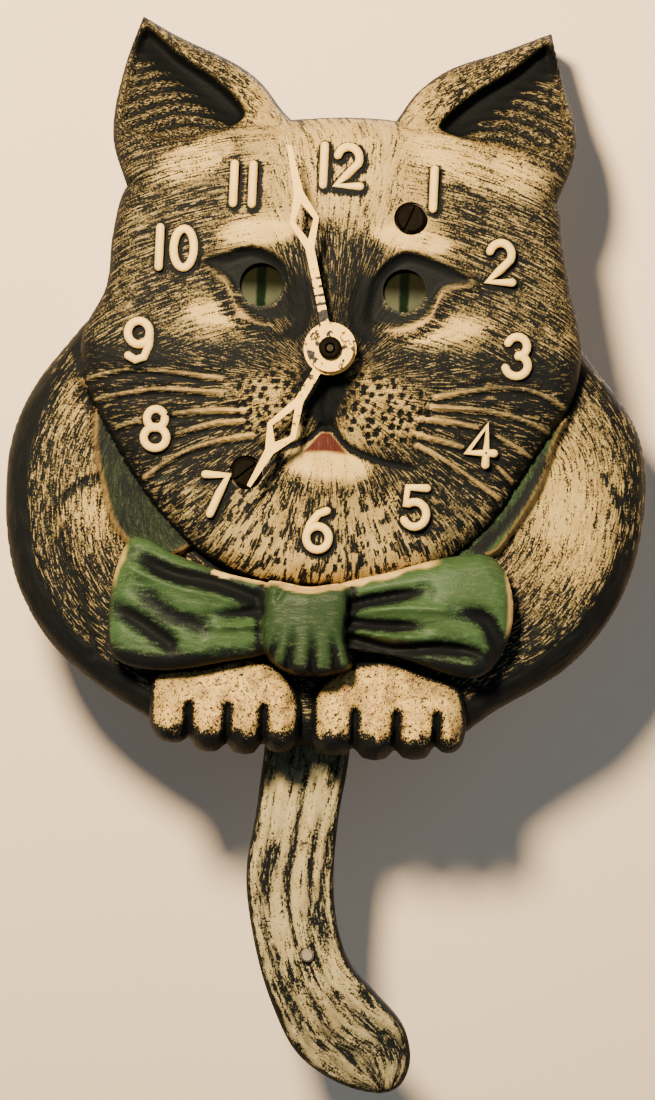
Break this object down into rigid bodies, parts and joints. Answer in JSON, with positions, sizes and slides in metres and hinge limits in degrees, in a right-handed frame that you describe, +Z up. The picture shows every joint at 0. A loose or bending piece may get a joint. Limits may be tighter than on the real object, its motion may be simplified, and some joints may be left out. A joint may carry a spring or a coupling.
{
  "type": "cat tail clock",
  "caption": "Wall pendulum clock moulded as a seated cat with a bow; the tail swings as the pendulum and the eyes slide from side to side with it.",
  "frame": {"origin": "centre of the nail in the hanger's keyhole, on the wall plane", "axes": "+Z up, front of the clock towards -Y, +X to the right as seen from the front"},
  "size_m": [0.1159, 0.0432, 0.1952],
  "materials": {
    "case_paint": "moulded composition, hand painted cream with dark antiquing and a green bow",
    "tail_paint": "moulded composition, painted cream with dark streaks",
    "hand_paint": "cream enamel, chipped near the centre",
    "eye_paint": "glossy yellow-green with a dark slit",
    "plate_brass": "rolled brass, slightly tarnished",
    "wheel_brass": "turned and cut brass",
    "bright_steel": "turned steel",
    "spring_steel": "blued spring steel",
    "plated_steel": "plated sheet steel",
    "dark_steel": "blackened steel, satin"
  },
  "bodies": {
    "case": {"case_shell": "case_paint", "hanger_strap": "plated_steel", "hanger_screw_left": "plated_steel", "hanger_screw_right": "plated_steel", "front_plate": "plate_brass", "back_plate": "plate_brass", "pillar_upper_left": "wheel_brass", "pillar_upper_right": "wheel_brass", "pillar_lower_left": "wheel_brass", "pillar_lower_right": "wheel_brass", "pillar_nut_upper_left": "plated_steel", "pillar_nut_upper_right": "plated_steel", "pillar_nut_lower_left": "plated_steel", "pillar_nut_lower_right": "plated_steel", "movement_screw_upper": "dark_steel", "movement_screw_lower": "dark_steel", "mainspring": "spring_steel", "minute_wheel_post": "bright_steel", "eye_guide_left": "bright_steel", "eye_guide_right": "bright_steel"},
    "minute_hand": {"cannon_pinion": "bright_steel", "minute_hand": "hand_paint", "hand_nut": "dark_steel"},
    "minute_wheel": {"minute_wheel": "wheel_brass"},
    "hour_hand": {"hour_wheel": "wheel_brass", "hour_hand": "hand_paint"},
    "centre_wheel": {"centre_arbor": "bright_steel", "centre_wheel": "wheel_brass"},
    "great_wheel": {"great_wheel": "wheel_brass", "click_stud": "wheel_brass", "click_spring": "spring_steel"},
    "third_wheel": {"third_arbor": "bright_steel", "third_wheel": "wheel_brass"},
    "escape_wheel": {"escape_arbor": "bright_steel", "escape_wheel": "wheel_brass"},
    "winding_key": {"winding_arbor": "bright_steel", "ratchet_wheel": "bright_steel", "winding_key": "plated_steel"},
    "click": {"click": "bright_steel"},
    "pendulum": {"verge_arbor": "bright_steel", "pallet_anchor": "bright_steel", "crutch": "spring_steel", "eye_arm": "wheel_brass", "tail_rod": "spring_steel", "tail": "tail_paint", "tail_rivet": "plated_steel"},
    "eye_slide": {"eye_carrier": "plate_brass", "left_eye": "eye_paint", "right_eye": "eye_paint"}
  },
  "joints": [
    {"name": "set_hands", "type": "hinge", "parent": "case", "child": "minute_hand", "pos_m": [0, -0.034, -0.0375], "axis": [0, 1, 0], "continuous": true},
    {"name": "minute_wheel_turn", "type": "hinge", "parent": "case", "child": "minute_wheel", "pos_m": [0.00693, -0.025, -0.0415], "axis": [0, 1, 0], "continuous": true},
    {"name": "hour_hand_turn", "type": "hinge", "parent": "case", "child": "hour_hand", "pos_m": [0, -0.033, -0.0375], "axis": [0, 1, 0], "continuous": true},
    {"name": "centre_wheel_turn", "type": "hinge", "parent": "case", "child": "centre_wheel", "pos_m": [0, -0.02, -0.0375], "axis": [0, 1, 0], "continuous": true},
    {"name": "great_wheel_turn", "type": "hinge", "parent": "case", "child": "great_wheel", "pos_m": [-0.01298, -0.012, -0.04642], "axis": [0, 1, 0], "continuous": true},
    {"name": "third_wheel_turn", "type": "hinge", "parent": "case", "child": "third_wheel", "pos_m": [0.009, -0.016, -0.02476], "axis": [0, 1, 0], "continuous": true},
    {"name": "escape_wheel_turn", "type": "hinge", "parent": "case", "child": "escape_wheel", "pos_m": [0, -0.016, -0.01863], "axis": [0, 1, 0], "continuous": true},
    {"name": "wind_key", "type": "hinge", "parent": "great_wheel", "child": "winding_key", "pos_m": [-0.01298, -0.006, -0.04642], "axis": [0, 1, 0], "range_deg": [0, 1890]},
    {"name": "click_tilt", "type": "hinge", "parent": "great_wheel", "child": "click", "pos_m": [-0.00438, -0.0106, -0.04222], "axis": [0, 1, 0], "range_deg": [0, 12], "stiffness_Nm_per_rad": 0.001},
    {"name": "tail_swing", "type": "hinge", "parent": "case", "child": "pendulum", "pos_m": [0, -0.012, -0.0083], "axis": [0, 1, 0], "range_deg": [-6, 6]},
    {"name": "eyes_slide", "type": "slide", "parent": "case", "child": "eye_slide", "axis": [1, 0, 0], "range_m": [-0.0019, 0.0019]}
  ],
  "couplings": [
    {"joint": "minute_wheel_turn", "follows": "set_hands", "ratio": -0.33333},
    {"joint": "hour_hand_turn", "follows": "set_hands", "ratio": 0.083333},
    {"joint": "great_wheel_turn", "follows": "centre_wheel_turn", "ratio": -0.16667},
    {"joint": "third_wheel_turn", "follows": "centre_wheel_turn", "ratio": -12},
    {"joint": "escape_wheel_turn", "follows": "centre_wheel_turn", "ratio": 120},
    {"joint": "eyes_slide", "follows": "tail_swing", "m_per_rad": -0.0179}
  ]
}
